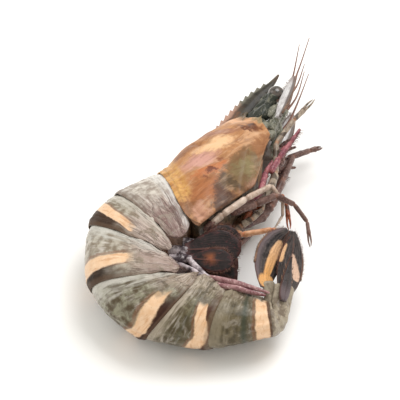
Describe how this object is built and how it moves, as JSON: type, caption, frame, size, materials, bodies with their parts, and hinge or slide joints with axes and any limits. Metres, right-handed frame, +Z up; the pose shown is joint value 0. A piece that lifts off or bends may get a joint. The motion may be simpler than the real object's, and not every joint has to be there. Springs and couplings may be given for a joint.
{
  "type": "raw tiger prawn",
  "caption": "Whole raw black tiger prawn with head and shell on, curled on its left side, with banded tail shell, toothed rostrum, legs, swimmerets and tail fan",
  "frame": {"origin": "centre of the bounding box in plan, at the table under the prawn", "axes": "+Z up out of the prawn's right side, the head points to +X +Y, the tail curls round at -Y; +Y is the longest side of the box and +Z the shortest"},
  "size_m": [0.0752, 0.1288, 0.0269],
  "materials": {
    "grey_shell": "wet satin shell, mottled olive grey with cream and dark bands",
    "amber_shell": "wet satin shell, amber to olive",
    "under_flesh": "moist flesh",
    "eye": "glossy",
    "pale_blade": "thin translucent shell",
    "maroon_limb": "wet satin shell",
    "banded_limb": "wet satin shell, cream with brown bands",
    "dark_paddle": "wet satin shell with fringed edge",
    "dark_fan": "wet satin shell with fringed edge"
  },
  "bodies": {
    "root": {"antenna_left": "banded_limb", "antenna_right": "banded_limb", "antennal_blade_left": "pale_blade", "antennal_blade_right": "pale_blade", "antennule_left": "banded_limb", "antennule_right": "banded_limb", "carapace": "amber_shell", "eye_left": "eye", "eye_right": "eye", "face": "under_flesh", "inner_tail_blade_left": "dark_fan", "inner_tail_blade_right": "dark_fan", "leg_1_left": "banded_limb", "leg_1_right": "banded_limb", "leg_2_left": "maroon_limb", "leg_2_right": "maroon_limb", "leg_3_left": "maroon_limb", "leg_3_right": "maroon_limb", "leg_4_left": "banded_limb", "leg_4_right": "banded_limb", "leg_5_left": "maroon_limb", "leg_5_right": "maroon_limb", "maxilliped_left": "maroon_limb", "maxilliped_right": "maroon_limb", "outer_tail_blade_left": "dark_fan", "outer_tail_blade_right": "dark_fan", "swimmeret_1_left": "dark_paddle", "swimmeret_1_right": "dark_paddle", "swimmeret_2_left": "dark_paddle", "swimmeret_2_right": "dark_paddle", "swimmeret_3_left": "dark_paddle", "swimmeret_3_right": "dark_paddle", "swimmeret_4_left": "dark_paddle", "swimmeret_4_right": "dark_paddle", "swimmeret_5_left": "dark_paddle", "swimmeret_5_right": "dark_paddle", "tail_segment_1": "grey_shell", "tail_segment_2": "grey_shell", "tail_segment_3": "grey_shell", "tail_segment_4": "grey_shell", "tail_segment_5": "grey_shell", "tail_segment_6": "grey_shell", "telson": "dark_fan", "under_body": "under_flesh"}
  },
  "joints": []
}
